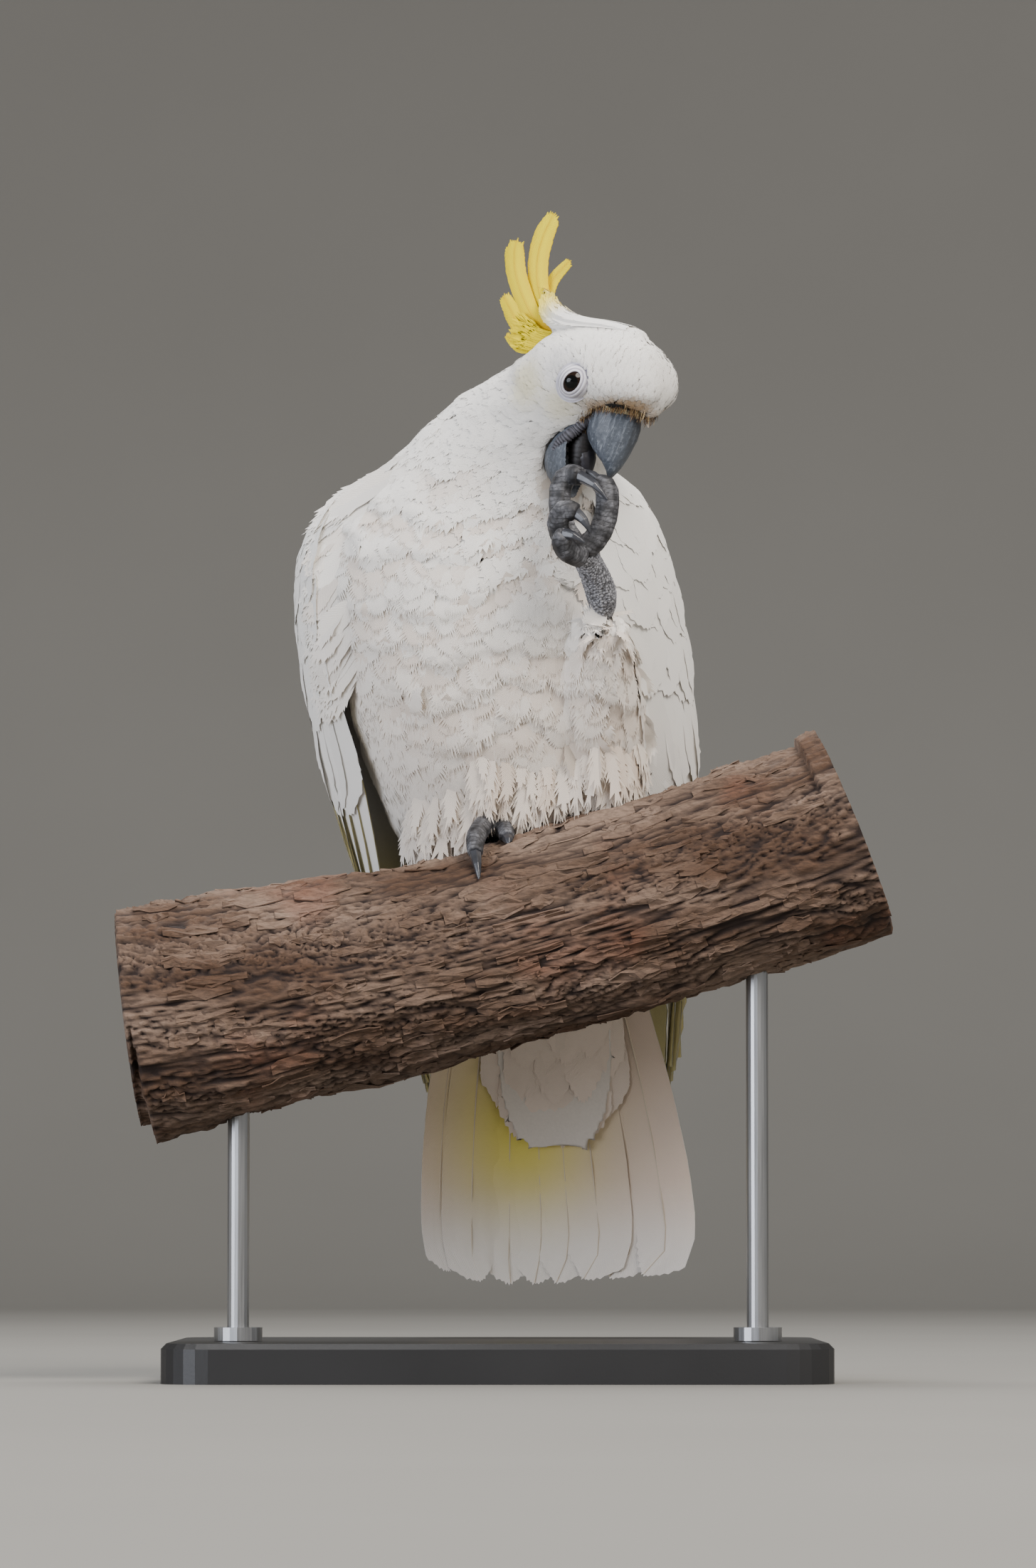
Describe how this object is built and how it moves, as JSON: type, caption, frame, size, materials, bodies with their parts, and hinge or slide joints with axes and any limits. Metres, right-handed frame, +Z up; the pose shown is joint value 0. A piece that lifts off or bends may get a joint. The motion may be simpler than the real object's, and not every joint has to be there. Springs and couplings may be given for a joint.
{
  "type": "still life-size model of a sulphur-crested cockatoo on a display stand",
  "caption": "Life-size still model of a white cockatoo with a raised yellow crest, gripping a cut branch with one foot and lifting the other to its bill, on a display stand.",
  "frame": {"origin": "centre of the stand base's underside, on the ground", "axes": "+Z up; the bird's breast faces -Y and its tail lies to +Y; +X is the bird's left; the branch runs along X and rises towards +X"},
  "size_m": [0.3546, 0.2423, 0.5286],
  "materials": {
    "plumage": "soft white contour feathers",
    "flight_feathers": "smooth white feather vanes, cream and faintly yellow below",
    "crest_yellow": "sulphur-yellow crest plumes under a white cap",
    "bill_horn": "slate-grey horn, semi-matt, with pale scratches",
    "grey_skin": "dry grey scaly skin",
    "claw_horn": "dark glossy horn",
    "eye_gloss": "wet, almost black",
    "mouth": "moist dark-grey skin",
    "bark": "rough reddish-brown bark with pale cut ends",
    "stand_steel": "satin dark-grey rod",
    "stand_black": "satin black painted board"
  },
  "bodies": {
    "root": {"bill_lower": "bill_horn", "bill_upper": "bill_horn", "branch": "bark", "cere": "grey_skin", "claw_1_left": "claw_horn", "claw_1_right": "claw_horn", "claw_2_left": "claw_horn", "claw_2_right": "claw_horn", "claw_3_left": "claw_horn", "claw_3_right": "claw_horn", "claw_4_left": "claw_horn", "claw_4_right": "claw_horn", "crest": "crest_yellow", "eye_left": "eye_gloss", "eye_right": "eye_gloss", "head": "plumage", "neck": "plumage", "shank_left": "grey_skin", "shank_right": "grey_skin", "stand_base": "stand_black", "stand_rod_left": "stand_steel", "stand_rod_right": "stand_steel", "tail": "flight_feathers", "thigh_left": "plumage", "thigh_right": "plumage", "toe_1_left": "grey_skin", "toe_1_right": "grey_skin", "toe_2_left": "grey_skin", "toe_2_right": "grey_skin", "toe_3_left": "grey_skin", "toe_3_right": "grey_skin", "toe_4_left": "grey_skin", "toe_4_right": "grey_skin", "tongue": "mouth", "trunk": "plumage", "undertail_coverts": "plumage", "uppertail_coverts": "plumage", "wing_left": "flight_feathers", "wing_right": "flight_feathers"}
  },
  "joints": []
}
